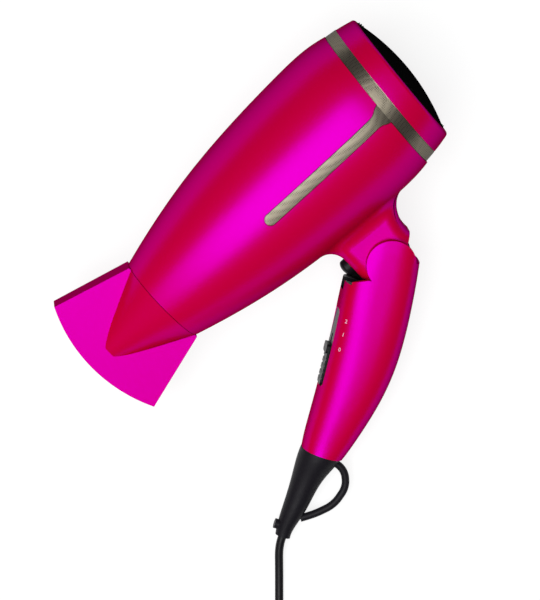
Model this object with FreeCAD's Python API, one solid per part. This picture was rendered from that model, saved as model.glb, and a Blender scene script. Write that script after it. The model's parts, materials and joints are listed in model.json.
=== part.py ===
# A folding travel hair dryer with a concentrator nozzle, lying on its side.
# Barrel frame: X runs back along the barrel from the outlet, Z is up, Y is across.
# Handle frame: origin on the hinge, "u" runs down the handle, "f" towards the outlet.
# Both are put on the table by one placement, so that barrel, outlet and handle end touch z = 0.
import FreeCAD, Part
import math
import os

os.makedirs("parts", exist_ok=True)
V = FreeCAD.Vector

# ---- clearances
fit = 0.05            # radial, shafts and turning or sliding fits
gap = 0.3             # between curved faces of different moving bodies
wall = 2.2            # moulded shells

# ---- barrel, radii at places along the axis
outlet_r = 25.0
barrel_flank = [(0, 25.0), (20, 30.4), (51, 36.8), (81.6, 40.5), (122, 42.7), (143, 42.0), (149, 40.9),
                (155, 39.4)]
barrel_len = 148.7
rest_x = 111.0         # where the flank touches the table, under the centre of mass
band_w = 6.6
band_r = 40.1
cap_len = 10.7
cap_front_r = 39.5
cap_rim_r = 37.0
rear_slant = 4.0      # degrees, the rear parts lean back at the top
strip_w = 6.0
strip_start_x = 71.5
strip_t = 1.2
trim_line = 0.35      # open line round the strips and at the band's edges
trim_line_deep = 0.8
strip_root_r = 7.0

# ---- outlet and nozzle
tube_r = 22.0
tube_wall = 1.4
tube_len = 13.5
ring_wall = 1.0
ring_in = 9.0         # how far the nozzle's ring plugs into the outlet
ring_out = 6.0        # how far it reaches into the nozzle
nozzle_wall = 1.8
nozzle_len = 50.0
nozzle_corner_x = -42.0
nozzle_half_w = 36.8
nozzle_mouth_r = 84.0
nozzle_half_t = 8.0
nozzle_mouth_half_t = 6.5
nozzle_cone_rate = 0.462
nozzle_pull = 10.0
outlet_gap = 0.3

# ---- neck and hinge
hinge_x = 97.15
hinge_z = -65.5
neck_half_w = 12.5
neck_front_x = 81.0
neck_disc_r = 11.5
neck_edge_r = 7.5
neck_root_r = 10.0
neck_back_x = 115.1
neck_back_curve = [(0.0, -61.2), (0.9, -53.0), (4.6, -46.4), (16.0, -41.5)]
ear_r = 12.9
hinge_boss_r = 7.5
pin_len = 30.4
pin_r = 4.0
pin_bore_r = 2.4
fold_angle = 61.7     # degrees between the handle and a handle that hangs straight down
fold_in = 28.0
fold_out = 44.0

# ---- handle: u, front f, back f, half thickness, squareness of the section
handle_len = 107.3
handle_sections = [
    (-14.0, 19.6, -13.2, 16.6, 3.2),
    (0.0, 19.3, -15.8, 17.0, 3.2),
    (18.0, 18.4, -18.7, 17.0, 3.2),
    (38.0, 16.3, -21.0, 16.8, 2.9),
    (52.0, 15.0, -21.6, 16.4, 2.7),
    (72.6, 13.5, -19.9, 15.4, 2.5),
    (92.0, 12.3, -15.7, 13.8, 2.4),
    (handle_len, 10.9, -11.2, 12.6, 2.3),
]
ledge_near = (8.5, 10.8)     # f, u where the ledge leaves the ear
ledge_far = (19.0, 16.4)
lip_u = -4.0
slot_floor_u = 16.5
slot_back_f = -6.0
recess_floor_u = 21.6        # for the button when the handle is folded in
recess_f = 3.0

# ---- switch
track_u = 52.2
track_f = 14.9
track_len = 41.5
track_w = 15.0
track_slope = 4.6     # degrees
track_recess = 0.7
track_t = 2.0
knob_len = 21.6
knob_w = 11.0
knob_h = 1.0
knob_ridge_h = 1.0
knob_ridge_len = 5.0
knob_end_gap = 0.3
knob_travel = 12.8
stem_len = 6.0
stem_w = 3.0

# ---- cool-shot button
button_z = -54.0
button_r = 4.5
button_out = 4.6
button_travel = 2.0

# ---- guard, loop and cord
guard_places = [(0.2, 0.4, 10.8), (3.7, 0.9, 10.5), (17.7, 3.0, 7.6), (28.1, 3.6, 6.5), (38.5, 4.6, 5.3),
                (49.0, 4.9, 4.0)]         # past the handle's end, f, radius
guard_rings = [(handle_len + past, f, r) for past, f, r in guard_places]
guard_neck_r = 6.4
guard_flange_r = 8.4
cord_r = 2.2
cord_inner_u = handle_len - 19.3
cord_inner_f = -0.7
clamp_u = (handle_len - 14.3, handle_len - 9.3)
loop_r = 2.0
loop_places = [(3.2, -7.5), (5.7, -14.5), (14.2, -18.3), (25.2, -15.3), (32.7, -7.5), (37.3, -0.8)]
loop_points = [(handle_len + past, f) for past, f in loop_places]
loop_knob_r = 2.6
loop_knob_at = (handle_len + 43.7, 4.8)
loop_knob_len = 6.4

# ---- screws
screw_r = 1.4
screw_head_r = 2.7
screw_len = 14.0
boss_r = 3.4
neck_screw = (107.5, -51.5)
handle_screws = [(41.0, -11.0), (80.0, -7.5)]   # u, f

# ---- motor and fan
motor_r = 12.0
motor_x = 98.0
motor_len = 27.0
shaft_r = 1.0
shroud_x = 92.0
shroud_len = 54.0
shroud_r = 38.6
shroud_wall = 1.6
fan_x = 130.0
fan_len = 13.0
fan_r = 36.0
hub_r = 13.5
blades = 7
vanes = 6

# ---- heater
heater_x = 14.0
heater_len = 58.0
mica_r = 23.4
mica_t = 0.6
coil_r = 18.0
coil_wire_r = 0.6
coil_turns = 9

# ---- cord on the table, in the table's frame
cord_lead = [(-106.9, -85.5, 6.0), (-116.1, -95.4, 3.3), (-131.2, -111.4, 2.2), (-144.9, -126.0, 2.2),
             (-158.1, -140.1, 2.4)]
coil_at = (-135.5, -158.9)
coil_in_r = 17.0
coil_out_r = 33.0
coil_h = 18.4
cord_tail = [(-162.8, -143.2, 16.0), (-170.8, -158.9, 12.6), (-165.4, -177.6, 6.6), (-150.9, -192.2, 2.7),
             (-133.5, -201.8, 2.2), (-115.5, -212.3, 4.0), (-99.5, -222.8, 8.4)]
plug_aim = (0.8, -0.6)
plug_half_w = 18.3
plug_half_t = 8.4
plug_len = 34.0
plug_neck = 8.0
prong_r = 2.4
prong_shank_r = 1.9
prong_shank_len = 8.0
prong_seat = 0.3       # the thin shank reaches this far out of the plug's face
prong_len = 19.0
prong_tip_r = 1.6
prong_apart = 19.0
tie_w = 9.0
tie_t = 0.8
tie_turn = 60.0

HANDLE_PLACE = FreeCAD.Placement(V(hinge_x, 0, hinge_z), FreeCAD.Rotation(V(0, 1, 0), fold_angle))


def tilt(slope_x, slope_z):
    """The placement that lays the dryer on its +Y side, with these rises of its middle plane along X and Z."""
    up = V(slope_x, -1.0, slope_z)
    up.normalize()
    ahead = V(1, 0, 0) - up * up.x
    ahead.normalize()
    left = up.cross(ahead)
    return FreeCAD.Placement(FreeCAD.Matrix(ahead.x, ahead.y, ahead.z, 0, left.x, left.y, left.z, 0,
                                            up.x, up.y, up.z, 0, 0, 0, 0, 1))


def lowest(shape, placement):
    moved = shape.copy()
    moved.Placement = placement.multiply(moved.Placement)
    return moved.optimalBoundingBox(False).ZMin


def lying_placement(barrel, handle):
    """Lays the dryer down: the barrel rests on its flank at rest_x, and the handle's end touches too."""
    step = 2.0
    slope_x = (flank_radius(rest_x + step) - flank_radius(rest_x - step)) / (2 * step)
    slope_z = 0.2
    for _ in range(6):
        placement = tilt(slope_x, slope_z)
        apart = lowest(handle, placement) - lowest(barrel, placement)
        slope_z += apart / handle_len
    placement.Base = V(0, 0, -lowest(barrel, placement))
    return placement


def middle(shapes, placement):
    """The middle, in X and Y, of the box around the placed shapes."""
    whole = Part.makeCompound(shapes)
    whole.Placement = placement
    box = whole.optimalBoundingBox(False)
    return V((box.XMin + box.XMax) / 2, (box.YMin + box.YMax) / 2, 0)


def flank_radius(x):
    """The barrel's outside radius at x."""
    flank = Part.BSplineCurve()
    flank.interpolate([V(px, 0, pr) for px, pr in barrel_flank])
    cut = flank.intersectCC(Part.Line(V(x, 0, 0), V(x, 0, 100)))
    return cut[0].Z


# ------------------------------------------------------------------ small helpers
def cyl(x0, x1, r):
    return Part.makeCylinder(r, x1 - x0, V(x0, 0, 0), V(1, 0, 0))


def pipe(x0, x1, r_out, r_in):
    return cyl(x0, x1, r_out).cut(cyl(x0 - 1, x1 + 1, r_in))


def block(x0, x1, y0, y1, z0, z1):
    return Part.makeBox(x1 - x0, y1 - y0, z1 - z0, V(x0, y0, z0))


def turned(outline):
    """A solid of revolution about X whose flank is one smooth curve through (x, r) places."""
    points = [V(x, 0, r) for x, r in outline]
    flank = Part.BSplineCurve()
    flank.interpolate(points)
    first = V(points[0].x, 0, 0)
    last = V(points[-1].x, 0, 0)
    edges = [Part.makeLine(first, points[0]), flank.toShape(), Part.makeLine(points[-1], last),
             Part.makeLine(last, first)]
    return Part.Face(Part.Wire(edges)).revolve(V(0, 0, 0), V(1, 0, 0), 360)


def slab(outline, half):
    """A closed (x, z) outline of lines, drawn out to both sides of the middle plane."""
    points = [V(x, -half, z) for x, z in outline]
    wire = Part.makePolygon(points + points[:1])
    return Part.Face(wire).extrude(V(0, 2 * half, 0))


def behind(x):
    """Everything behind the leaning plane that crosses the axis at x."""
    big = block(0, 300, -150, 150, -150, 150)
    big.rotate(V(0, 0, 0), V(0, 1, 0), rear_slant)
    big.translate(V(x, 0, 0))
    return big


def solid_of(shape):
    """The one solid of a boolean result, or a compound of them where there are several."""
    shape = shape.removeSplitter()
    return shape.Solids[0] if len(shape.Solids) == 1 else Part.makeCompound(shape.Solids)


def smaller(outline, step):
    return [(x, r - step) for x, r in outline]


# ------------------------------------------------------------------ barrel
def neck_slab(inset):
    """The neck's flat body: a straight front, a hollow-curved back, and its corners inside the handle's fork."""
    half = neck_half_w - inset
    front = neck_front_x + inset
    low = [V(front, -half, -20), V(front, -half, hinge_z + 4), V(hinge_x - 8, -half, hinge_z - 5),
           V(hinge_x + 6, -half, hinge_z - 3)]
    back = [V(neck_back_x - inset, -half, z) if k == 0 else V(neck_back_x + x - inset, -half, z)
            for k, (x, z) in enumerate(neck_back_curve)]
    curve = Part.BSplineCurve()
    curve.interpolate(back)
    top = V(back[-1].x, -half, -20)
    edges = [Part.makeLine(p, q) for p, q in zip(low, low[1:] + back[:1])]
    edges += [curve.toShape(), Part.makeLine(back[-1], top), Part.makeLine(top, low[0])]
    return Part.Face(Part.Wire(edges)).extrude(V(0, 2 * half, 0))


def hinge_disc(r, half):
    return Part.makeCylinder(r, 2 * half, V(hinge_x, -half, hinge_z), V(0, 1, 0))


def neck(inset):
    return neck_slab(inset).fuse(hinge_disc(neck_disc_r - inset, neck_half_w - inset))


def rounded_neck():
    """The outer neck, with the long edges of its front and back rounded."""
    body = neck_slab(0)
    long_edges = [e for e in body.Edges if e.BoundBox.YLength < 0.01 and e.BoundBox.ZLength > 15
                  and e.CenterOfMass.z < -30]
    return body.makeFillet(neck_edge_r, long_edges).fuse(hinge_disc(neck_disc_r, neck_half_w))


def on_barrel(edge):
    """True for the edges where the neck runs into the barrel."""
    span = edge.LastParameter - edge.FirstParameter
    places = [edge.valueAt(edge.FirstParameter + span * k / 4) for k in range(5)]
    if any(p.z > -30 or p.x < 60 or p.x > 150 for p in places):
        return False
    return all(abs(math.hypot(p.y, p.z) - flank_radius(p.x)) < 0.05 for p in places)


def blended_body():
    """The barrel with the neck flowing out of it."""
    body = turned(barrel_flank).fuse(rounded_neck()).removeSplitter()
    return body.makeFillet(neck_root_r, [e for e in body.Edges if on_barrel(e)])


def strip_tool(extra):
    """The side strips' outline, with flared roots at the band, drawn through both flanks."""
    half = strip_w / 2 + extra
    back = barrel_len + 12
    root_x = barrel_len - strip_root_r
    flare = slab([(root_x, -half), (root_x, half), (back, half + strip_root_r), (back, -half - strip_root_r)], 60)
    for side in (-1, 1):
        corner = Part.makeCylinder(strip_root_r, 130, V(root_x, -65, side * (half + strip_root_r)), V(0, 1, 0))
        flare = flare.cut(corner)
    run = block(strip_start_x, back, -60, 60, -half, half)
    nose = Part.makeCylinder(half, 120, V(strip_start_x, -60, 0), V(0, 1, 0))
    return run.fuse([nose, flare])


def barrel_solid(inset):
    return turned(smaller(barrel_flank, inset)).cut(behind(barrel_len))


def housing():
    outer = blended_body().cut(behind(barrel_len))
    hollow = turned([(x, r - wall) for x, r in barrel_flank]).fuse(neck(wall))
    front_bore = cyl(-1, tube_len, tube_r)
    shell = outer.cut(hollow).cut(front_bore)
    boss = across(hinge_x, hinge_z, hinge_boss_r, 0.2 - neck_half_w, neck_half_w - 0.2)
    shell = shell.fuse(boss).cut(across(hinge_x, hinge_z, pin_r + fit, -30, 30))
    groove = turned(smaller(barrel_flank, -5)).cut(turned(smaller(barrel_flank, strip_t + fit)))
    shell = shell.cut(groove.common(strip_tool(trim_line)))
    shell = shell.cut(cyl_at(button_z, button_r + 0.2, 60, 95))
    x, z = neck_screw
    shell = shell.fuse(screw_boss(x, z, neck_half_w - 0.5)).cut(screw_hole(x, z, neck_half_w))
    return [solid_of(shell.common(block(-10, 200, -100, 0, -150, 100))),
            solid_of(shell.common(block(-10, 200, 0, 100, -150, 100)))]


def across(x, z, r, y0, y1):
    """A cylinder across the middle plane."""
    return Part.makeCylinder(r, y1 - y0, V(x, y0, z), V(0, 1, 0))


def screw_boss(x, z, half):
    return across(x, z, boss_r, -half, half)


def screw_hole(x, z, half):
    """The screw comes in from the +Y side: its shank's bore and its head's deep counterbore."""
    return across(x, z, screw_r, 6 - screw_len, 8).fuse(across(x, z, screw_head_r + 0.2, 6, half + 8))


def screw(x, z):
    return across(x, z, screw_r, 6 - screw_len, 6).fuse(across(x, z, screw_head_r, 6, 7.8)).cut(
        block(x - 1.6, x + 1.6, 7.0, 9, z - 0.4, z + 0.4))


def cyl_at(z, r, x0, x1):
    return Part.makeCylinder(r, x1 - x0, V(x0, 0, z), V(1, 0, 0))


def trim_band():
    ring = turned([(barrel_len - 9, band_r + 0.9), (barrel_len, band_r + 0.3), (barrel_len + band_w, band_r - 0.5),
                   (barrel_len + 16, band_r - 2)])
    ring = ring.cut(cyl(0, 200, band_r - 2.4)).common(behind(barrel_len)).cut(behind(barrel_len + band_w))
    for x in (barrel_len, barrel_len + band_w - trim_line):
        line = behind(x).cut(behind(x + trim_line)).cut(cyl(0, 200, band_r - trim_line_deep))
        ring = ring.cut(line.cut(strip_tool(0)) if x == barrel_len else line)
    skin = barrel_solid(0).cut(turned(smaller(barrel_flank, strip_t)))
    strips = skin.common(strip_tool(0))
    return solid_of(ring.fuse(strips))


def rear_cap():
    outline = [(barrel_len - 6, cap_front_r + 0.6), (barrel_len + band_w, cap_front_r),
               (barrel_len + band_w + 6, cap_front_r - 1.2), (barrel_len + band_w + 22, cap_rim_r - 2.5)]
    body = turned(outline).common(behind(barrel_len + band_w)).cut(behind(barrel_len + band_w + cap_len))
    rim = max(body.Edges, key=lambda e: e.CenterOfMass.x)
    body = body.makeFillet(2.0, [rim])
    return solid_of(body.cut(cyl(0, 300, cap_rim_r - wall)))


def rear_grille():
    """A domed intake grille with round holes, leaning with the cap."""
    rim = barrel_len + band_w + cap_len
    dome_h = 5.5
    r = cap_rim_r - wall - 0.5
    ball = (r * r + dome_h * dome_h) / (2 * dome_h)
    outer = Part.makeSphere(ball, V(rim + dome_h - ball, 0, 0)).common(cyl(rim - 0.5, rim + 20, r))
    inner = Part.makeSphere(ball - 1.2, V(rim + dome_h - ball, 0, 0))
    dish = outer.cut(inner).fuse(pipe(rim - 4, rim + 0.2, r, r - 1.4))
    pitch = 6.4
    holes = []
    for row in range(-5, 6):
        for col in range(-6, 7):
            y = (col + 0.5 * (row % 2)) * pitch
            z = row * pitch * 0.866
            if math.hypot(y, z) < r - 3.4:
                holes.append(Part.makeCylinder(2.3, 20, V(rim - 6, y, z), V(1, 0, 0)))
    dish = dish.cut(holes)
    dish.rotate(V(rim, 0, 0), V(0, 1, 0), rear_slant)
    return solid_of(dish)


# ------------------------------------------------------------------ outlet and nozzle
def outlet_tube():
    return solid_of(pipe(0.4, tube_len, tube_r, tube_r - tube_wall))


def outlet_grille():
    """Concentric rings on crossed bars, behind the nozzle's ring."""
    r = tube_r - tube_wall
    x0 = ring_in + 0.8
    x1 = tube_len - 0.3
    grille = pipe(x0, x1, r, r - 1.5)
    for share in (0.62, 0.3):
        grille = grille.fuse(pipe(x0, x1, r * share, r * share - 1.2))
    for k in range(4):
        bar = block(x0 + 0.5, x1 - 0.5, -0.7, 0.7, -(r - 0.5), r - 0.5)
        bar.rotate(V(0, 0, 0), V(1, 0, 0), 45 * k)
        grille = grille.fuse(bar)
    return solid_of(grille)


def ring_r():
    return tube_r - tube_wall - fit


def nozzle_ring():
    return solid_of(pipe(-ring_out, ring_in, ring_r(), ring_r() - ring_wall))


def fan_slab(inset, past):
    """The flat mouth: wide in Z, thin in Y, and a little thinner towards its curved front edge."""
    half_w = nozzle_half_w - inset
    root = outlet_r - inset
    side = [(0, root), (nozzle_corner_x - past, half_w + past * 0.28),
            (nozzle_corner_x - past, -half_w - past * 0.28), (0, -root)]
    flat = slab(side, 40)
    disc = Part.makeCylinder(nozzle_mouth_r + past, 80, V(nozzle_mouth_r - nozzle_len, -40, 0), V(0, 1, 0))
    flat = flat.fuse(block(-nozzle_len - past, nozzle_corner_x - past, -40, 40, -half_w - past, half_w + past))
    flat = flat.common(disc) if past == 0 else flat
    root_t = nozzle_half_t - inset
    mouth_t = nozzle_mouth_half_t - inset
    wedge = Part.makePolygon([V(1, -root_t, -60), V(1, root_t, -60), V(-nozzle_len - past, mouth_t, -60),
                              V(-nozzle_len - past, -mouth_t, -60), V(1, -root_t, -60)])
    return flat.common(Part.Face(wedge).extrude(V(0, 0, 120)))


def nozzle_cone(inset):
    reach = 38.0
    r0 = outlet_r - inset
    return Part.makeCone(r0, r0 - nozzle_cone_rate * reach, reach, V(0, 0, 0), V(-1, 0, 0))


def nozzle_shell():
    outer = nozzle_cone(0).fuse(fan_slab(0, 0))
    inner = nozzle_cone(nozzle_wall).fuse(fan_slab(nozzle_wall, 5))
    bore = cyl(-ring_out - fit, 1, ring_r() + fit)
    shell = outer.cut(inner).cut(bore)
    return solid_of(shell.cut(cyl(-outlet_gap, 5, 60)))


# ------------------------------------------------------------------ air path, motor and heater
def fan_shroud():
    ring = pipe(shroud_x + 14, shroud_x + shroud_len, shroud_r, shroud_r - shroud_wall)
    cup = pipe(motor_x - 2, motor_x + motor_len, motor_r + 1.6, motor_r)
    floor = pipe(motor_x - 3.5, motor_x - 2, motor_r + 1.6, 4)
    body = ring.fuse([cup, floor])
    for k in range(vanes):
        vane = block(shroud_x + 16, motor_x + motor_len - 4, -0.8, 0.8, motor_r + 1, shroud_r - 0.8)
        vane.rotate(V(0, 0, 0), V(1, 0, 0), 360 / vanes * k)
        body = body.fuse(vane)
    return solid_of(body)


def motor_can():
    can = cyl(motor_x - 2, motor_x + motor_len - 4, motor_r).cut(cyl(motor_x - 1, motor_x + 40, motor_r - 1))
    return solid_of(can.cut(cyl(0, 200, 3)))


def motor_end_cap():
    plate = pipe(motor_x + motor_len - 4, motor_x + motor_len - 2, motor_r, shaft_r + 2)
    return solid_of(plate)


def motor_bushes():
    rear = pipe(motor_x + motor_len - 5, motor_x + motor_len - 1.5, shaft_r + 2, shaft_r + fit)
    front = pipe(motor_x - 2.5, motor_x + 1, 3, shaft_r + fit)
    return Part.makeCompound([solid_of(rear), solid_of(front)])


def armature():
    core = cyl(motor_x + 3, motor_x + 17, motor_r - 2.0)
    for k in range(5):
        slot = block(motor_x, motor_x + 20, -1, 1, 4.5, 20)
        slot.rotate(V(0, 0, 0), V(1, 0, 0), 72 * k)
        core = core.cut(slot)
    commutator = cyl(motor_x + 17, motor_x + 21, 3)
    return solid_of(core.fuse(commutator).cut(cyl(0, 200, shaft_r)))


def rotor_shaft():
    return solid_of(cyl(motor_x - 2.4, fan_x + fan_len - 3, shaft_r))


def impeller():
    fan = cyl(fan_x, fan_x + fan_len - 2, hub_r)
    for k in range(blades):
        blade = block(fan_x + 1, fan_x + fan_len - 1, -0.7, 0.7, hub_r - 2.2, fan_r + 4)
        blade.rotate(V(fan_x + fan_len / 2, 0, 0), V(0, 0, 1), 38)
        blade.rotate(V(0, 0, 0), V(1, 0, 0), 360 / blades * k)
        fan = fan.fuse(blade)
    fan = fan.common(cyl(fan_x - 2, fan_x + fan_len + 2, fan_r))
    return fan.cut(cyl(0, 200, shaft_r)).Solids[0]


def mica_tube():
    return solid_of(pipe(heater_x + 2, heater_x + heater_len, mica_r, mica_r - mica_t))


def coil_places():
    first = heater_x + 9
    pitch = (heater_len - 22) / (coil_turns - 1)
    return [first + k * pitch for k in range(coil_turns)]


def coil_rings(thickness):
    return [Part.makeTorus(coil_r, thickness, V(x, 0, 0), V(1, 0, 0)) for x in coil_places()]


def mica_cross():
    reach = mica_r - mica_t - 0.3
    card = block(heater_x + 3, heater_x + heater_len, -mica_t / 2, mica_t / 2, -reach, reach)
    other = card.copy()
    other.rotate(V(0, 0, 0), V(1, 0, 0), 90)
    return solid_of(card.fuse(other).cut(coil_rings(coil_wire_r + 0.02)))


def heating_coil():
    return Part.makeCompound(coil_rings(coil_wire_r))


def thermostat():
    return solid_of(block(heater_x + 30, heater_x + 41, mica_t / 2, mica_t / 2 + 4, 3, 10))


def thermal_fuse():
    return solid_of(Part.makeCylinder(1.6, 12, V(heater_x + 15, mica_t / 2 + 1.6, -6), V(1, 0, 0)))


def rectifier_board():
    board = block(78, 92, -11, 11, 14.4, 16)
    parts = [block(80, 84, -9 + 6 * k, -6 + 6 * k, 16, 19) for k in range(4)]
    return solid_of(board.fuse(parts))


# ------------------------------------------------------------------ hinge and button
def hinge_pin():
    pin = across(0, 0, pin_r, -pin_len / 2, pin_len / 2)
    return solid_of(pin.cut(across(0, 0, pin_bore_r, -pin_len, pin_len)))


def cool_shot_button():
    stem = cyl_at(button_z, button_r, neck_front_x - button_out + 2.2, neck_front_x + 5)
    dome = Part.makeSphere(button_r, V(neck_front_x - button_out + 2.2, 0, button_z))
    squash = FreeCAD.Matrix()
    squash.scale(0.55, 1, 1)
    dome.translate(V(-(neck_front_x - button_out + 2.2), 0, 0))
    dome = dome.transformGeometry(squash)
    dome.translate(V(neck_front_x - button_out + 2.2, 0, 0))
    flange = cyl_at(button_z, button_r + 1.3, neck_front_x + wall + 0.2, neck_front_x + wall + 1.7)
    return solid_of(stem.fuse([dome, flange]))


def button_switch():
    """The small switch behind the button, just clear of the hinge's boss."""
    low = hinge_z + hinge_boss_r + 1
    return solid_of(block(neck_front_x + 9, neck_front_x + 14, -5, 5, low, low + 10))


# ------------------------------------------------------------------ handle, in its own frame: x = -f, z = -u
def superellipse(u, front, back, half, power, inset):
    """One cross-section of the handle, as a closed smooth curve."""
    middle = (front + back) / 2
    deep = (front - back) / 2 - inset
    points = []
    for k in range(24):
        a = math.radians(15 * k)
        c, s = math.cos(a), math.sin(a)
        f = middle + deep * math.copysign(abs(c) ** (2 / power), c)
        y = (half - inset) * math.copysign(abs(s) ** (2 / power), s)
        points.append(V(-f, y, -u))
    curve = Part.BSplineCurve()
    curve.interpolate(points, PeriodicFlag=True)
    return Part.Wire([curve.toShape()])


def handle_loft(inset):
    return Part.makeLoft([superellipse(*row, inset) for row in handle_sections], True, False)


def kept_outline():
    """What the side outline leaves of the handle: round ears over the hinge, a ledge in front, a lip behind."""
    ear = Part.makeCylinder(ear_r, 60, V(0, -30, 0), V(0, 1, 0))
    (f0, u0), (f1, u1) = ledge_near, ledge_far
    front_u = u0 + (u1 - u0) / (f1 - f0) * (40 - f0)
    body = slab([(40, -u0), (-f0, -u0), (-40, -front_u), (-40, -150), (40, -150)], 30)
    back = slab([(40, -lip_u), (0, -lip_u), (0, -20), (40, -20)], 30)
    return ear.fuse([body, back])


def in_track(shape):
    """Moves a shape from the switch track's frame (z up off its face, x towards the hinge) to the handle's."""
    shape.Placement = FreeCAD.Placement(V(-track_f, 0, -track_u), track_turn()).multiply(shape.Placement)
    return shape


def track_turn():
    s, c = math.sin(math.radians(track_slope)), math.cos(math.radians(track_slope))
    ahead = V(-s, 0, c)
    out = V(-c, 0, -s)
    side = out.cross(ahead)
    return FreeCAD.Rotation(FreeCAD.Matrix(ahead.x, side.x, out.x, 0, ahead.y, side.y, out.y, 0,
                                           ahead.z, side.z, out.z, 0, 0, 0, 0, 1))


def rounded_bar(length, width, z0, z1, r):
    bar = block(-length / 2, length / 2, -width / 2, width / 2, z0, z1)
    upright = [e for e in bar.Edges if abs(e.Vertexes[0].Z - e.Vertexes[-1].Z) > 0.5 * (z1 - z0)]
    return bar.makeFillet(r, upright)


def handle_shells():
    outer = handle_loft(0).common(kept_outline())
    cavity = handle_loft(wall).common(block(-60, 60, -60, 60, -(handle_len - wall), -(recess_floor_u + wall)))
    slot_half = neck_half_w + gap
    fork = block(-40, -slot_back_f, -slot_half, slot_half, -slot_floor_u, 30)
    fork = fork.fuse(block(-40, 40, -slot_half, slot_half, -lip_u, 30))
    recess_half = button_r + fit + gap
    fork = fork.fuse(block(-40, -recess_f, -recess_half, recess_half, -recess_floor_u, 0))
    fork_bore = across(0, 0, neck_disc_r + 0.5, -slot_half, slot_half)
    window = in_track(rounded_bar(track_len + 2 * fit, track_w + 2 * fit, -6, 20, 2))
    body = outer.cut(cavity).cut(fork).cut(fork_bore).cut(window)
    for u, f in handle_screws:
        body = body.fuse(screw_boss(-f, -u, 12.5)).cut(screw_hole(-f, -u, 14))
    body = body.cut(across(0, 0, pin_r, -pin_len / 2, pin_len / 2))
    body = body.cut(Part.makeCylinder(guard_neck_r, 20, V(0, 0, -handle_len - 5), V(0, 0, 1)))
    return [solid_of(body.common(block(-60, 60, -60, 0, -160, 60))),
            solid_of(body.common(block(-60, 60, 0, 60, -160, 60)))]


def switch_panel():
    plate = rounded_bar(track_len, track_w, -track_recess - track_t, -track_recess, 2)
    travel_slot = rounded_bar(stem_len + knob_travel + 0.6, stem_w + 0.6, -10, 10, 1)
    travel_slot.translate(V(knob_middle() + knob_travel / 2, 0, 0))
    return solid_of(in_track(plate.cut(travel_slot)))


def knob_middle():
    """Where the slider's middle is along the track at its off place."""
    return -(track_len / 2 - knob_len / 2 - knob_end_gap)


def switch_slider():
    """The slider: a low ribbed pad with a raised thumb ridge at its hinge end, and a stem."""
    base = -track_recess + fit
    pad = rounded_bar(knob_len, knob_w, base, base + knob_h, 1.5)
    ridge = rounded_bar(knob_ridge_len, knob_w, base, base + knob_h + knob_ridge_h, 1.5)
    ridge.translate(V((knob_len - knob_ridge_len) / 2, 0, 0))
    knob = pad.fuse(ridge)
    for k in range(4):
        groove = across(-7.5 + 3.4 * k, base + knob_h + 0.3, 0.7, -knob_w, knob_w)
        knob = knob.cut(groove)
    stem = block(-stem_len / 2, stem_len / 2, -stem_w / 2, stem_w / 2, -track_recess - track_t - 3, base + 0.5)
    knob = knob.fuse(stem)
    knob.translate(V(knob_middle(), 0, 0))
    return solid_of(in_track(knob))


def switch_body():
    top = -track_recess - track_t
    box = block(-17, 13, -6.5, 6.5, top - 12, top)
    well = block(-stem_len / 2 - 0.5, stem_len / 2 + knob_travel + 0.5, -stem_w / 2 - 0.3, stem_w / 2 + 0.3,
                 top - 3.6, top + 1)
    well.translate(V(knob_middle(), 0, 0))
    return solid_of(in_track(box.cut(well)))


def capacitor():
    return solid_of(block(3.5, 13.0, -6, 6, -65, -48))


def cord_line():
    """Start and direction of the straight cord through the guard, in the handle frame."""
    start = V(-cord_inner_f, 0, -cord_inner_u)
    tip = V(-guard_rings[-1][1], 0, -guard_rings[-1][0])
    return start, tip


def strain_relief():
    """The cord guard: tapering outside, plugged into the handle's end, with the loop's peg head in front."""
    rings = [Part.Wire([Part.Circle(V(-f, 0, -u), V(0, 0, -1), r).toShape()]) for u, f, r in guard_rings]
    tail = Part.makeLoft(rings, True, False)
    stem_len = guard_rings[0][0] - handle_len + wall
    stem = Part.makeCylinder(guard_neck_r, stem_len, V(0, 0, -guard_rings[0][0]), V(0, 0, 1))
    flange = Part.makeCylinder(guard_flange_r, 2.0, V(0, 0, -handle_len + wall), V(0, 0, 1))
    knob_u, knob_f = loop_knob_at
    knob = Part.makeCylinder(loop_knob_r, loop_knob_len, V(-knob_f, 0, -knob_u), V(-1, 0, 0))
    body = tail.fuse([stem, flange, knob])
    start, tip = cord_line()
    along = tip - start
    bore = Part.makeCylinder(cord_r, along.Length + 40, start - along.normalize() * 10, along)
    return solid_of(body.cut(bore))


def cord_inner():
    start, tip = cord_line()
    along = tip - start
    stub = Part.makeCylinder(cord_r, along.Length + 6, start, along)
    return solid_of(stub.common(block(-60, 60, -60, 60, -guard_rings[-1][0], 0)))


def bent_tube(points, r, turns=None):
    """A round tube along straight runs joined by tangent arcs. Adds each arc's radius to turns."""
    edges = []
    here = points[0]
    for k in range(1, len(points) - 1):
        before = points[k] - points[k - 1]
        after = points[k + 1] - points[k]
        half = before.getAngle(after) / 2
        cut = min(before.Length * (0.9 if k == 1 else 0.45), after.Length * 0.45)
        a = points[k] - before * (cut / before.Length)
        b = points[k] + after * (cut / after.Length)
        radius = cut / math.tan(half)
        if turns is not None:
            turns.append(round(radius, 1))
        bisector = (after.normalize() - before.normalize()).normalize()
        middle = points[k] + bisector * (radius / math.cos(half) - radius)
        if (a - here).Length > 1e-6:
            edges.append(Part.makeLine(here, a))
        edges.append(Part.Arc(a, middle, b).toShape())
        here = b
    edges.append(Part.makeLine(here, points[-1]))
    path = Part.Wire(edges)
    start = points[1] - points[0]
    ring = Part.Wire([Part.Circle(points[0], start, r).toShape()])
    return path.makePipeShell([ring], True, False), path.Length


def hanging_loop():
    points = [V(-f, 0, -u) for u, f in loop_points]
    tube, length = bent_tube(points, loop_r)
    return tube


def handle_screw_group():
    return Part.makeCompound([solid_of(screw(-f, -u)) for u, f in handle_screws])


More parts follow.
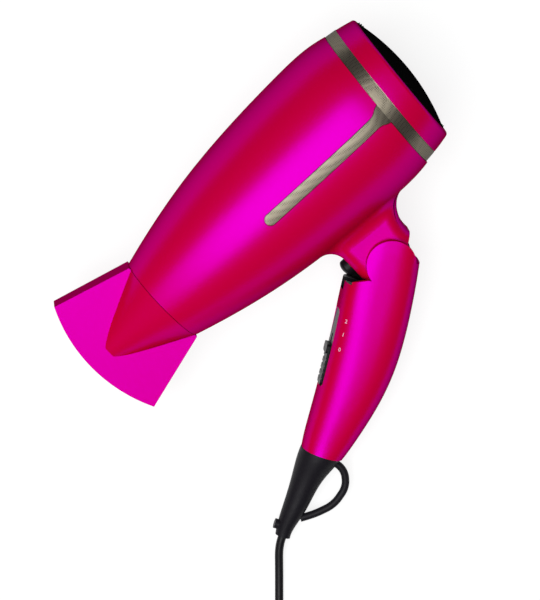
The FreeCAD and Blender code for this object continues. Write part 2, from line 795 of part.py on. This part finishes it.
def lead_wires():
    """Two insulated wires from the cord's end to the switch."""
    wires = []
    for side in (-1, 1):
        points = [V(0.7, 1.1 * side, 0.3 - cord_inner_u), V(0, 2.0 * side, -82), V(-3, 3.4 * side, -76),
                  V(-6, 3.6 * side, -69.4)]
        wires.append(bent_tube(points, 0.8)[0])
    return Part.makeCompound(wires)


def cord_clamp():
    bar = block(-4, 4, -9, 9, -clamp_u[1], -clamp_u[0])
    start, tip = cord_line()
    along = tip - start
    return solid_of(bar.cut(Part.makeCylinder(cord_r, 60, start - along.normalize() * 10, along)))


# ------------------------------------------------------------------ cord, in the table's frame
def cord_tube(points, name):
    turns = []
    tube, length = bent_tube([V(*p) for p in points], cord_r, turns)
    share = tube.Volume / (math.pi * cord_r ** 2 * length)
    print(name, "radii", turns, "length", round(length, 1), "volume over section times length", round(share, 4))
    return tube


def cord_coil():
    """The put-away length, wound flat: one solid of the coil's outer shape."""
    foot = V(coil_at[0], coil_at[1], tie_t)
    ring = Part.makeCylinder(coil_out_r, coil_h, foot).cut(Part.makeCylinder(coil_in_r, coil_h, foot))
    rims = [e for e in ring.Edges if e.Closed and abs(e.Vertexes[0].Z - e.CenterOfMass.z) < 0.01]
    return ring.makeFillet(2.0, rims)


def cord_tie():
    """A flat strap round one side of the coil."""
    strap = block(coil_in_r - tie_t, coil_out_r + tie_t, -tie_w / 2, tie_w / 2, 0, coil_h + 2 * tie_t)
    inside = block(coil_in_r - 1.0 + tie_t, coil_out_r + fit, -tie_w, tie_w, tie_t, coil_h + tie_t)
    strap = strap.cut(inside)
    strap.rotate(V(0, 0, 0), V(0, 0, 1), tie_turn)
    strap.translate(V(coil_at[0], coil_at[1], 0))
    return solid_of(strap)


def plug_place():
    """The plug's frame: x runs from the cord's entry towards the prongs."""
    turn = FreeCAD.Rotation(V(1, 0, 0), V(plug_aim[0], plug_aim[1], 0))
    return FreeCAD.Placement(V(*cord_tail[-1]), turn)


def stadium(x, half_w, half_t):
    """An upright cross-section of the plug: flat above and below, round at the sides."""
    flat = half_w - half_t
    top = [V(x, -flat, half_t), V(x, flat, half_t)]
    low = [V(x, flat, -half_t), V(x, -flat, -half_t)]
    edges = [Part.makeLine(*top), Part.Arc(top[1], V(x, half_w, 0), low[0]).toShape(), Part.makeLine(*low),
             Part.Arc(low[1], V(x, -half_w, 0), top[0]).toShape()]
    return Part.Wire(edges)


def plug_body():
    back = plug_neck
    face = plug_len
    stations = [(0, 4.4, 3.6), (back, 5.6, 4.6), (back + 9, 12.5, plug_half_t - 1.0),
                (back + 17, plug_half_w - 0.8, plug_half_t), (face, plug_half_w, plug_half_t)]
    body = Part.makeLoft([stadium(*row) for row in stations], True, True)
    for side in (-1, 1):
        y = side * prong_apart / 2
        body = body.cut(Part.makeCylinder(prong_shank_r, prong_shank_len + 1, V(face - prong_shank_len, y, 0), V(1, 0, 0)))
    body.Placement = plug_place()
    return body


def plug_prongs():
    """Two round prongs, each on a thinner shank that is moulded into the plug."""
    prongs = []
    for side in (-1, 1):
        y = side * prong_apart / 2
        prong = Part.makeCylinder(prong_r, prong_len - prong_seat, V(plug_len + prong_seat, y, 0), V(1, 0, 0))
        tip = max(prong.Edges, key=lambda e: e.CenterOfMass.x)
        shank = Part.makeCylinder(prong_shank_r, prong_shank_len + 2 * prong_seat, V(plug_len - prong_shank_len, y, 0),
                                  V(1, 0, 0))
        prongs.append(solid_of(prong.makeFillet(prong_tip_r, [tip]).fuse(shank)))
    group = Part.makeCompound(prongs)
    group.Placement = plug_place()
    return group


# ------------------------------------------------------------------ build
def main():
    barrel = {
        "outlet_tube": outlet_tube(), "outlet_grille": outlet_grille(), "trim_band": trim_band(),
        "rear_cap": rear_cap(), "rear_grille": rear_grille(), "nozzle_ring": nozzle_ring(),
        "nozzle_shell": nozzle_shell(), "fan_shroud": fan_shroud(), "motor_can": motor_can(),
        "motor_end_cap": motor_end_cap(), "motor_bushes": motor_bushes(), "armature": armature(),
        "rotor_shaft": rotor_shaft(), "impeller": impeller(), "mica_tube": mica_tube(), "mica_cross": mica_cross(),
        "heating_coil": heating_coil(), "thermostat": thermostat(), "thermal_fuse": thermal_fuse(),
        "rectifier_board": rectifier_board(), "cool_shot_button": cool_shot_button(),
        "button_switch": button_switch(), "neck_screw": solid_of(screw(*neck_screw)),
    }
    barrel["housing_left"], barrel["housing_right"] = housing()
    handle = {
        "hinge_pin": hinge_pin(), "switch_panel": switch_panel(), "switch_slider": switch_slider(),
        "handle_screws": handle_screw_group(), "lead_wires": lead_wires(),
        "switch_body": switch_body(), "capacitor": capacitor(), "strain_relief": strain_relief(),
        "cord_inner": cord_inner(), "hanging_loop": hanging_loop(), "cord_clamp": cord_clamp(),
    }
    handle["handle_left"], handle["handle_right"] = handle_shells()
    for shape in handle.values():
        shape.Placement = HANDLE_PLACE.multiply(shape.Placement)
    pieces = {**barrel, **handle}
    lying = lying_placement(barrel["housing_right"], handle["handle_right"])
    lying.Base = lying.Base - middle([s for n, s in pieces.items() if n != "strain_relief"], lying)
    for shape in pieces.values():
        shape.Placement = lying.multiply(shape.Placement)
    exit_point = lying.multVec(HANDLE_PLACE.multVec(cord_line()[1]))
    pieces["cord_lead"] = cord_tube([tuple(exit_point)] + cord_lead, "cord_lead")
    pieces["cord_coil"] = cord_coil()
    pieces["cord_tail"] = cord_tube(cord_tail, "cord_tail")
    pieces["cord_tie"] = cord_tie()
    pieces["plug_body"] = plug_body()
    pieces["plug_prongs"] = plug_prongs()
    for name, shape in pieces.items():
        if not shape.isValid():
            print("not valid:", name)
        shape.exportStep("parts/" + name + ".step")
    print(len(pieces), "nodes, cord leaves at", exit_point)
    return lying


if __name__ == "__main__":
    main()
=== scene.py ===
import bpy, bmesh
import json
import math
from mathutils import Matrix, Vector
from mathutils.bvhtree import BVHTree


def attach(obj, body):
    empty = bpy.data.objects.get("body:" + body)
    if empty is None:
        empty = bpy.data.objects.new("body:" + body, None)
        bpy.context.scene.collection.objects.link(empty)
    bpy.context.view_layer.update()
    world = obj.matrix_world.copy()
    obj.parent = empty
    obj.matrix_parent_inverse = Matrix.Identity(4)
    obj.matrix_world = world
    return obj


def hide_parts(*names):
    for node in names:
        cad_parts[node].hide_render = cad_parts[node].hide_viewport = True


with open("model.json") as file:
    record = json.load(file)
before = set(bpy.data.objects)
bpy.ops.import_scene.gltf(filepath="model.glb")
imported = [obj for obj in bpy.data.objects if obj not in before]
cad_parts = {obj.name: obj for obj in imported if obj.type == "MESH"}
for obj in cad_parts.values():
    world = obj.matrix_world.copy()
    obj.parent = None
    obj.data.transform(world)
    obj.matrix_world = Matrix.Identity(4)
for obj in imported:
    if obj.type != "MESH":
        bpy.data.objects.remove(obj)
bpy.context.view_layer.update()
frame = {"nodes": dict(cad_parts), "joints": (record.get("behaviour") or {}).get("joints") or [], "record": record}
joints = {j["name"]: j for j in frame["joints"]}
nodes = frame["nodes"]

# the barrel's own directions, from the joints: back along it, up out of its top, and out of the side that shows
alongBarrel = Vector(joints["fan_spin"]["axis"])
outOfSide = Vector(joints["handle_fold"]["axis"])
upBarrel = outOfSide.cross(alongBarrel)
barrelFront = Vector(joints["nozzle_turn"]["pos_m"]) + alongBarrel * 0.003
hingeAt = Vector(joints["handle_fold"]["pos_m"])

# the handle's own directions: down it, and out of its front
trackSlope = math.radians(4.6)
trackUp = Vector(joints["switch_slide"]["axis"])
trackOut = outOfSide.cross(trackUp)
trackOut *= 1 if trackOut.dot(upBarrel) > 0 else -1
downHandle = trackOut * math.sin(trackSlope) - trackUp * math.cos(trackSlope)
frontOfHandle = trackOut * math.cos(trackSlope) + trackUp * math.sin(trackSlope)
print("frame loaded", len(nodes), "nodes", tuple(round(v, 3) for v in upBarrel))


def inBarrel(x, y, z):
    # millimetres back, towards the viewer and up, from the middle of the outlet
    return barrelFront + (alongBarrel * x + outOfSide * y + upBarrel * z) * 0.001


def onHandle(u, f, y=0):
    # millimetres down the handle from the hinge, forward, and towards the viewer
    return hingeAt + (downHandle * u + frontOfHandle * f + outOfSide * y) * 0.001


# ---------------- small tools
def link(obj):
    bpy.context.scene.collection.objects.link(obj)
    return obj


def meshPiece(name, verts, faces, smooth=True):
    mesh = bpy.data.meshes.new(name)
    mesh.from_pydata([tuple(v) for v in verts], [], faces)
    mesh.update()
    if smooth:
        mesh.polygons.foreach_set("use_smooth", [True] * len(mesh.polygons))
    return link(bpy.data.objects.new(name, mesh))


def fixNormals(obj):
    bm = bmesh.new()
    bm.from_mesh(obj.data)
    bmesh.ops.recalc_face_normals(bm, faces=bm.faces)
    bm.to_mesh(obj.data)
    bm.free()


def dress(obj, material, body=None):
    obj.data.materials.clear()
    obj.data.materials.append(material)
    if body:
        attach(obj, body)
    return obj


# ---------------- materials
def newMaterial(name, colour, roughness, metallic=0.0):
    material = bpy.data.materials.new(name)
    material.use_nodes = True
    shader = material.node_tree.nodes["Principled BSDF"]
    shader.inputs["Base Color"].default_value = (*colour, 1)
    shader.inputs["Roughness"].default_value = roughness
    shader.inputs["Metallic"].default_value = metallic
    return material, material.node_tree, shader


def node(tree, kind, **inputs):
    made = tree.nodes.new(kind)
    for key, value in inputs.items():
        made.inputs[key.replace("_", " ")].default_value = value
    return made


def grain(tree, shader, scale, low, high, bump, distance=0.0001, detail=3.0):
    # one noise gives the roughness its spread and the surface its fine bump
    place = tree.nodes.new("ShaderNodeTexCoord")
    noise = node(tree, "ShaderNodeTexNoise", Scale=scale, Detail=detail)
    tree.links.new(place.outputs["Object"], noise.inputs["Vector"])
    spread = tree.nodes.new("ShaderNodeMapRange")
    spread.inputs["From Min"].default_value = 0.3
    spread.inputs["From Max"].default_value = 0.7
    spread.inputs["To Min"].default_value = low
    spread.inputs["To Max"].default_value = high
    tree.links.new(noise.outputs["Fac"], spread.inputs["Value"])
    tree.links.new(spread.outputs["Result"], shader.inputs["Roughness"])
    lift = node(tree, "ShaderNodeBump", Strength=bump, Distance=distance)
    tree.links.new(noise.outputs["Fac"], lift.inputs["Height"])
    tree.links.new(lift.outputs["Normal"], shader.inputs["Normal"])
    return noise


lacquer = {"under": (0.58, 0.0, 0.018), "flake": (0.52, 0.0, 1.0), "flakeShare": 0.155, "flakeEdge": (0.05, 0.0, 0.02),
           "roughness": (0.30, 0.38)}


def lacquerMaterial():
    # a satin metallic lacquer: crimson ground under violet flake that shows where the light comes straight back
    material, tree, ground = newMaterial("magentaLacquer", lacquer["under"], 0.5)
    ground.inputs["Specular IOR Level"].default_value = 0.0
    grain(tree, ground, 900, 0.45, 0.55, 0.04)
    flake = tree.nodes.new("ShaderNodeBsdfPrincipled")
    flake.inputs["Base Color"].default_value = (*lacquer["flake"], 1)
    flake.inputs["Metallic"].default_value = 1.0
    flake.inputs["Specular Tint"].default_value = (*lacquer["flakeEdge"], 1)
    grain(tree, flake, 1600, *lacquer["roughness"], 0.10, 0.00004)
    mix = tree.nodes.new("ShaderNodeMixShader")
    mix.inputs["Fac"].default_value = lacquer["flakeShare"]
    tree.links.new(ground.outputs[0], mix.inputs[1])
    tree.links.new(flake.outputs[0], mix.inputs[2])
    tree.links.new(mix.outputs[0], tree.nodes["Material Output"].inputs["Surface"])
    return material


def trimMaterial():
    # champagne metallic paint over a dark ground, with a fine stamped dot pattern
    material, tree, ground = newMaterial("champagneTrim", (0.022, 0.018, 0.015), 0.5)
    ground.inputs["Specular IOR Level"].default_value = 0.1
    flake = tree.nodes.new("ShaderNodeBsdfPrincipled")
    flake.inputs["Metallic"].default_value = 1.0
    flake.inputs["Roughness"].default_value = 0.33
    flake.inputs["Specular Tint"].default_value = (0.10, 0.08, 0.06, 1)
    place = tree.nodes.new("ShaderNodeTexCoord")
    dots = node(tree, "ShaderNodeTexVoronoi", Scale=1150, Randomness=0.15)
    tree.links.new(place.outputs["Object"], dots.inputs["Vector"])
    shade = tree.nodes.new("ShaderNodeValToRGB")
    shade.color_ramp.elements[0].position = 0.12
    shade.color_ramp.elements[0].color = (0.03, 0.025, 0.02, 1)
    shade.color_ramp.elements[1].position = 0.42
    shade.color_ramp.elements[1].color = (1.0, 0.88, 0.66, 1)
    tree.links.new(dots.outputs["Distance"], shade.inputs["Fac"])
    tree.links.new(shade.outputs["Color"], flake.inputs["Base Color"])
    lift = node(tree, "ShaderNodeBump", Strength=0.35, Distance=0.0001)
    tree.links.new(dots.outputs["Distance"], lift.inputs["Height"])
    tree.links.new(lift.outputs["Normal"], flake.inputs["Normal"])
    mix = tree.nodes.new("ShaderNodeMixShader")
    mix.inputs["Fac"].default_value = 0.15
    tree.links.new(ground.outputs[0], mix.inputs[1])
    tree.links.new(flake.outputs[0], mix.inputs[2])
    tree.links.new(mix.outputs[0], tree.nodes["Material Output"].inputs["Surface"])
    return material


magenta = lacquerMaterial()
blackPlastic, tree, shader = newMaterial("blackPlastic", (0.006, 0.0055, 0.007), 0.38)
shader.inputs["Specular IOR Level"].default_value = 0.12
grain(tree, shader, 1400, 0.34, 0.46, 0.12, 0.00003)
softBlack, tree, shader = newMaterial("softBlack", (0.009, 0.008, 0.011), 0.42)
shader.inputs["Specular IOR Level"].default_value = 0.12
grain(tree, shader, 700, 0.38, 0.52, 0.15, 0.00005)
cordBlack, tree, shader = newMaterial("cordBlack", (0.006, 0.0055, 0.007), 0.36)
shader.inputs["Specular IOR Level"].default_value = 0.18
grain(tree, shader, 500, 0.32, 0.48, 0.12, 0.00005)
champagne = trimMaterial()
grilleBlack, tree, shader = newMaterial("grilleBlack", (0.005, 0.005, 0.005), 0.45)
shader.inputs["Specular IOR Level"].default_value = 0.0
grain(tree, shader, 900, 0.4, 0.55, 0.1, 0.00003)
paleMark, tree, shader = newMaterial("paleMark", (0.86, 0.45, 0.70), 0.5)
grain(tree, shader, 2000, 0.45, 0.6, 0.1, 0.00002)
steel, tree, shader = newMaterial("platedSteel", (0.62, 0.61, 0.60), 0.28, 1.0)
grain(tree, shader, 300, 0.22, 0.38, 0.05)
bronze, tree, shader = newMaterial("bushBronze", (0.50, 0.31, 0.14), 0.4, 1.0)
grain(tree, shader, 800, 0.35, 0.5, 0.2)
mica, tree, shader = newMaterial("pressedMica", (0.52, 0.46, 0.33), 0.45)
grain(tree, shader, 120, 0.3, 0.6, 0.1)
coilWire, tree, shader = newMaterial("heaterWire", (0.30, 0.27, 0.25), 0.4, 1.0)
grain(tree, shader, 600, 0.3, 0.5, 0.1)
innerPlastic, tree, shader = newMaterial("innerPlastic", (0.70, 0.69, 0.64), 0.5)
grain(tree, shader, 900, 0.42, 0.58, 0.1)

slotMaterial = {"body_magenta": magenta, "trim_champagne": champagne, "black_plastic": blackPlastic,
                "soft_black": softBlack, "cord_black": cordBlack, "steel": steel, "bronze": bronze, "mica": mica,
                "coil_wire": coilWire, "inner_plastic": innerPlastic}
for part in frame["record"]["subparts"]:
    piece = nodes[part["node"]]
    piece.data.materials.clear()
    piece.data.materials.append(slotMaterial[part["material_slot"]])
print("materials on", len(nodes), "pieces")


def paintForkShade(name):
    # painted shade: the slot that the neck folds into gets black plastic on its cheeks, its floor and the button's
    # recess, standing in for the shadow inside the slot
    mesh = nodes[name].data
    mesh.materials.append(blackPlastic)
    for face in mesh.polygons:
        at = (face.center - hingeAt) * 1000
        across = abs(at.dot(outOfSide))
        down = at.dot(downHandle)
        cheek = abs(face.normal.dot(outOfSide)) > 0.98 and (abs(across - 12.8) < 0.1 or abs(across - 4.85) < 0.1)
        floor = face.normal.dot(downHandle) < -0.98 and across < 12.8 and (abs(down - 16.5) < 0.1
                                                                          or abs(down - 21.6) < 0.1)
        if (cheek or floor) and down < 22:
            # these inner faces take the black as painted shade
            face.material_index = 1


# paint the fork slot's shade black on both handle shells
for name in ("handle_left", "handle_right"):
    paintForkShade(name)


# ---------------- the rear grille: a domed sheet of fine round-cornered holes in a rim
grilleFacts = {"rimX": 166.0, "radius": 34.3, "dome": 5.5, "slant": 4.0, "pitch": 2.5, "hole": 0.86, "thick": 0.9,
               "rimDeep": 4.0, "rimWide": 1.4, "rimSteps": 96}


def onDome(y, z, g):
    reach = min(math.hypot(y, z), g["radius"] - 0.6)
    ball = (g["radius"] ** 2 + g["dome"] ** 2) / (2 * g["dome"])
    scale = reach / max(math.hypot(y, z), 1e-6)
    y, z = y * scale, z * scale
    return leaning(g["rimX"] + g["dome"] - ball + math.sqrt(ball ** 2 - reach ** 2), y, z, g)


def leaning(x, y, z, g):
    lean = math.radians(g["slant"])
    dx = x - g["rimX"]
    return inBarrel(g["rimX"] + dx * math.cos(lean) + z * math.sin(lean), y, z * math.cos(lean) - dx * math.sin(lean))


def makeRearGrille():
    g = grilleFacts
    verts, faces, shared = [], [], {}

    def vertexAt(y, z):
        key = (round(y, 2), round(z, 2))
        if key not in shared:
            shared[key] = len(verts)
            verts.append(onDome(y, z, g))
        return shared[key]

    cell = g["pitch"] / math.sqrt(3)
    rows = int(g["radius"] / (g["pitch"] * 0.866)) + 1
    for row in range(-rows, rows + 1):
        for col in range(-rows - 1, rows + 2):
            y = (col + 0.5 * (row % 2)) * g["pitch"]
            z = row * g["pitch"] * math.sqrt(3) / 2
            if math.hypot(y, z) > g["radius"] - 0.2:
                continue
            outer, inner = [], []
            for k in range(6):
                a = math.radians(60 * k + 30)
                outer.append(vertexAt(y + cell * math.cos(a), z + cell * math.sin(a)))
                inner.append(len(verts))
                verts.append(onDome(y + g["hole"] * math.cos(a), z + g["hole"] * math.sin(a), g))
            for k in range(6):
                faces.append((outer[k], outer[(k + 1) % 6], inner[(k + 1) % 6], inner[k]))
    sheet = meshPiece("rear_mesh", verts, faces, smooth=False)
    fixNormals(sheet)
    thick = sheet.modifiers.new("thickness", "SOLIDIFY")
    thick.thickness = g["thick"] * 0.001
    thick.offset = -1
    profile = [(-g["rimDeep"], g["radius"]), (0.0, g["radius"]), (0.5, g["radius"] - 0.4),
               (0.5, g["radius"] - g["rimWide"]), (-g["rimDeep"], g["radius"] - g["rimWide"])]
    verts, faces = [], []
    n = len(profile)
    for k in range(g["rimSteps"]):
        a = math.radians(360 / g["rimSteps"] * k)
        for dx, r in profile:
            verts.append(leaning(g["rimX"] + dx, r * math.cos(a), r * math.sin(a), g))
        after = (k + 1) % g["rimSteps"]
        for m in range(n):
            faces.append((k * n + m, k * n + (m + 1) % n, after * n + (m + 1) % n, after * n + m))
    rim = meshPiece("rear_mesh_rim", verts, faces)
    fixNormals(rim)
    for piece in (sheet, rim):
        dress(piece, grilleBlack, "barrel")
        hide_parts("rear_grille")


makeRearGrille()
print("rear grille made")


# ---------------- the switch marks, printed on the side that shows
markFacts = [("2", 35.2, 12.4), ("1", 42.3, 11.6), ("0", 50.3, 10.8)]


def makeMarks():
    shell = nodes["handle_left"]
    tree = BVHTree.FromPolygons([v.co for v in shell.data.vertices], [p.vertices for p in shell.data.polygons])
    for label, u, f in markFacts:
        place, normal, _, _ = tree.ray_cast(onHandle(u, f, 60), -outOfSide)
        text = bpy.data.curves.new("mark_" + label, "FONT")
        text.body = label
        text.size = 0.0029
        text.align_x = "CENTER"
        text.align_y = "CENTER"
        text.offset = 0.00004
        mark = link(bpy.data.objects.new("mark_" + label, text))
        up = (-downHandle - normal * -downHandle.dot(normal)).normalized()
        side = up.cross(normal)
        mark.matrix_world = Matrix.Translation(place + normal * 0.00008) @ Matrix(
            (side, up, normal)).transposed().to_4x4()
        text.materials.append(paleMark)
        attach(mark, "handle")


makeMarks()
print("marks printed")


# ---------------- the plug
plugFacts = {"at": (-99.5, -222.8, 8.4), "aim": (0.8, -0.6), "steps": 48,
             "rings": [(0, 3.5, 3.2, 2.0), (0.8, 4.3, 3.6, 2.0), (2.2, 4.4, 3.6, 2.0), (2.5, 3.7, 3.0, 2.0),
                       (3.1, 3.7, 3.0, 2.0), (3.4, 4.7, 3.9, 2.1), (5.0, 4.8, 4.0, 2.1), (5.3, 4.1, 3.4, 2.1),
                       (5.9, 4.1, 3.4, 2.1), (6.2, 5.2, 4.3, 2.2), (8.0, 5.6, 4.6, 2.3), (11, 7.3, 5.4, 2.5),
                       (14, 9.7, 6.5, 2.8), (17, 12.2, 7.4, 3.1), (20, 14.6, 8.0, 3.4), (23, 16.4, 8.3, 3.7),
                       (26, 17.5, 8.4, 4.0), (30, 18.1, 8.4, 4.2), (32.6, 18.3, 8.4, 4.3), (33.6, 18.0, 8.1, 4.3),
                       (34.0, 17.2, 7.3, 4.3)]}


def makePlug():
    p = plugFacts
    ahead = Vector((*p["aim"], 0))
    across = Vector((0, 0, 1)).cross(ahead)
    at = Vector(p["at"])
    verts, faces = [], []
    n = p["steps"]
    for x, halfW, halfT, power in p["rings"]:
        for k in range(n):
            a = 2 * math.pi * k / n
            c, s = math.cos(a), math.sin(a)
            w = halfW * math.copysign(abs(c) ** (2 / power), c)
            t = halfT * math.copysign(abs(s) ** (2 / power), s)
            verts.append((at + ahead * x + across * w + Vector((0, 0, t))) * 0.001)
    for r in range(len(p["rings"]) - 1):
        for k in range(n):
            after = (k + 1) % n
            faces.append((r * n + k, r * n + after, (r + 1) * n + after, (r + 1) * n + k))
    faces.append(tuple(range(n)))
    faces.append(tuple(range(len(verts) - n, len(verts))))
    plug = meshPiece("plug_moulding", verts, faces)
    fixNormals(plug)
    dress(plug, softBlack, "handle")
    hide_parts("plug_body")
    return plug


plug = makePlug()
print("plug made")

# ---------------- the cord, one line from the guard through the coil to the plug
cordFacts = {
    "length": 1.8, "diameter": 0.0044,
    "lead": [(-0.1069, -0.0855, 0.0060), (-0.1161, -0.0954, 0.0033), (-0.1312, -0.1114, 0.0022),
             (-0.1449, -0.1260, 0.0022)],
    "coilAt": (-0.1355, -0.1589), "turnR": 0.0250, "pitch": 0.00455, "layers": 4, "turnsInLayer": 2.5,
    "firstAngle": 140.2, "floor": 0.0031, "pointsInTurn": 16,
    "tail": [(-0.1708, -0.1589, 0.0126), (-0.1654, -0.1776, 0.0066), (-0.1509, -0.1922, 0.0027),
             (-0.1335, -0.2018, 0.0022), (-0.1155, -0.2123, 0.0040), (-0.0995, -0.2228, 0.0084)],
}


def cordPoints(exitAt):
    c = cordFacts
    points = [Vector(exitAt)] + [Vector(p) for p in c["lead"]]
    reach = c["pitch"] * c["turnsInLayer"] / 2
    steps = int(c["turnsInLayer"] * c["pointsInTurn"])
    angle = math.radians(c["firstAngle"])
    for layer in range(c["layers"]):
        for k in range(steps + 1):
            if k == 0 and layer:
                continue
            t = k / steps
            inward = t if layer % 2 == 0 else 1 - t
            r = c["turnR"] + reach - 2 * reach * inward
            rise = max(0.0, (k - steps + 3) / 3) if layer < c["layers"] - 1 else 0.0
            z = c["floor"] + (layer + rise) * c["pitch"]
            a = angle + math.radians(360) * c["turnsInLayer"] * (layer + t)
            points.append(Vector((c["coilAt"][0] + r * math.cos(a), c["coilAt"][1] + r * math.sin(a), z)))
    return points + [Vector(p) for p in c["tail"]]


def makeCord():
    c = cordFacts
    exitAt = onHandle(156.3, 4.9)
    points = cordPoints(exitAt)
    curve = bpy.data.curves.new("mains_cord", "CURVE")
    curve.dimensions = "3D"
    spline = curve.splines.new("NURBS")
    spline.points.add(len(points) - 1)
    for target, p in zip(spline.points, points):
        target.co = (*p, 1)
    spline.order_u = 3
    spline.use_endpoint_u = True
    spline.resolution_u = 8
    curve.bevel_depth = c["diameter"] / 2
    curve.bevel_resolution = 6
    curve.use_fill_caps = True
    cord = link(bpy.data.objects.new("mains_cord", curve))
    dress(cord, cordBlack, "handle")
    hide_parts("cord_lead", "cord_coil", "cord_tail")
    return cord


makeCord()
print("cord laid")

# ---------------- floor, light and camera
stageFacts = {"floorSize": 12.0, "worldLevel": 0.10, "glow": (0.82, 1.0), "glowReach": (0.24, 0.8)}


def makeFloor():
    # white to the eye and to mirrors, with the object's shadow kept; mid grey to the light that bounces off it
    half = stageFacts["floorSize"] / 2
    floor = meshPiece("floor", [(-half, -half, 0), (half, -half, 0), (half, half, 0), (-half, half, 0)], [(0, 1, 2, 3)],
                      smooth=False)
    material, tree, bounce = newMaterial("paleFloor", (0.30, 0.30, 0.30), 0.8)
    shown = tree.nodes.new("ShaderNodeBsdfPrincipled")
    shown.inputs["Base Color"].default_value = (0.22, 0.22, 0.22, 1)
    shown.inputs["Roughness"].default_value = 0.9
    shown.inputs["Specular IOR Level"].default_value = 0.0
    shown.inputs["Emission Color"].default_value = (1, 1, 1, 1)
    place = tree.nodes.new("ShaderNodeTexCoord")
    reach = tree.nodes.new("ShaderNodeVectorMath")
    reach.operation = "LENGTH"
    glow = tree.nodes.new("ShaderNodeMapRange")
    glow.inputs["From Min"].default_value, glow.inputs["From Max"].default_value = stageFacts["glowReach"]
    glow.inputs["To Min"].default_value, glow.inputs["To Max"].default_value = stageFacts["glow"]
    tree.links.new(place.outputs["Object"], reach.inputs[0])
    tree.links.new(reach.outputs["Value"], glow.inputs["Value"])
    tree.links.new(glow.outputs["Result"], shown.inputs["Emission Strength"])
    rays = tree.nodes.new("ShaderNodeLightPath")
    first = tree.nodes.new("ShaderNodeMath")
    first.operation = "MAXIMUM"
    seen = tree.nodes.new("ShaderNodeMath")
    seen.operation = "MAXIMUM"
    tree.links.new(rays.outputs["Is Camera Ray"], first.inputs[0])
    tree.links.new(rays.outputs["Is Glossy Ray"], first.inputs[1])
    tree.links.new(first.outputs[0], seen.inputs[0])
    tree.links.new(rays.outputs["Is Transmission Ray"], seen.inputs[1])
    mix = tree.nodes.new("ShaderNodeMixShader")
    tree.links.new(seen.outputs[0], mix.inputs["Fac"])
    tree.links.new(bounce.outputs[0], mix.inputs[1])
    tree.links.new(shown.outputs[0], mix.inputs[2])
    tree.links.new(mix.outputs[0], tree.nodes["Material Output"].inputs["Surface"])
    floor.data.materials.append(material)
    return floor


makeFloor()

viewFacts = {"distance": 1.9, "frameWidth": 0.2754, "barrelRise": 43.1, "toCamera": (0.105, 0.968, 0.225),
             "aim": (39.5, 0, -37.9)}


def makeCamera():
    v = viewFacts
    back = (alongBarrel * v["toCamera"][0] + outOfSide * v["toCamera"][1] + upBarrel * v["toCamera"][2]).normalized()
    ahead = (alongBarrel - back * alongBarrel.dot(back)).normalized()
    above = back.cross(ahead)
    rise = math.radians(v["barrelRise"])
    right = ahead * math.cos(rise) - above * math.sin(rise)
    top = ahead * math.sin(rise) + above * math.cos(rise)
    aim = barrelFront + (ahead * v["aim"][0] + above * v["aim"][2]) * 0.001
    data = bpy.data.cameras.new("camera")
    data.sensor_fit = "HORIZONTAL"
    data.sensor_width = 36
    data.lens = 36 * v["distance"] / v["frameWidth"]
    data.clip_end = 20
    camera = link(bpy.data.objects.new("camera", data))
    camera.matrix_world = Matrix.Translation(aim + back * v["distance"]) @ Matrix(
        (right, top, back)).transposed().to_4x4()
    bpy.context.scene.camera = camera
    return right, top, back, aim


right, top, back, aim = makeCamera()


lampFacts = {"key": {"from": (-0.17, 0.95, 0.22), "far": 2.1, "size": (1.9, 2.0), "power": 59.0}}


def makeLamp(name, facts):
    # a soft box whose first side runs along the barrel and whose second side runs across it
    out = (alongBarrel * facts["from"][0] + outOfSide * facts["from"][1] + upBarrel * facts["from"][2]).normalized()
    first = (alongBarrel - out * alongBarrel.dot(out)).normalized()
    data = bpy.data.lights.new(name, "AREA")
    data.shape = "RECTANGLE"
    data.size, data.size_y = facts["size"]
    data.energy = facts["power"]
    lamp = link(bpy.data.objects.new(name, data))
    lamp.matrix_world = Matrix.Translation(aim + out * facts["far"]) @ Matrix(
        (first, out.cross(first), out)).transposed().to_4x4()


for name, facts in lampFacts.items():
    makeLamp(name, facts)

world = bpy.data.worlds.new("studio")
bpy.context.scene.world = world
world.use_nodes = True
world.node_tree.nodes["Background"].inputs["Color"].default_value = (0.9, 0.9, 0.92, 1)
world.node_tree.nodes["Background"].inputs["Strength"].default_value = stageFacts["worldLevel"]
bpy.context.scene.view_settings.view_transform = "Standard"
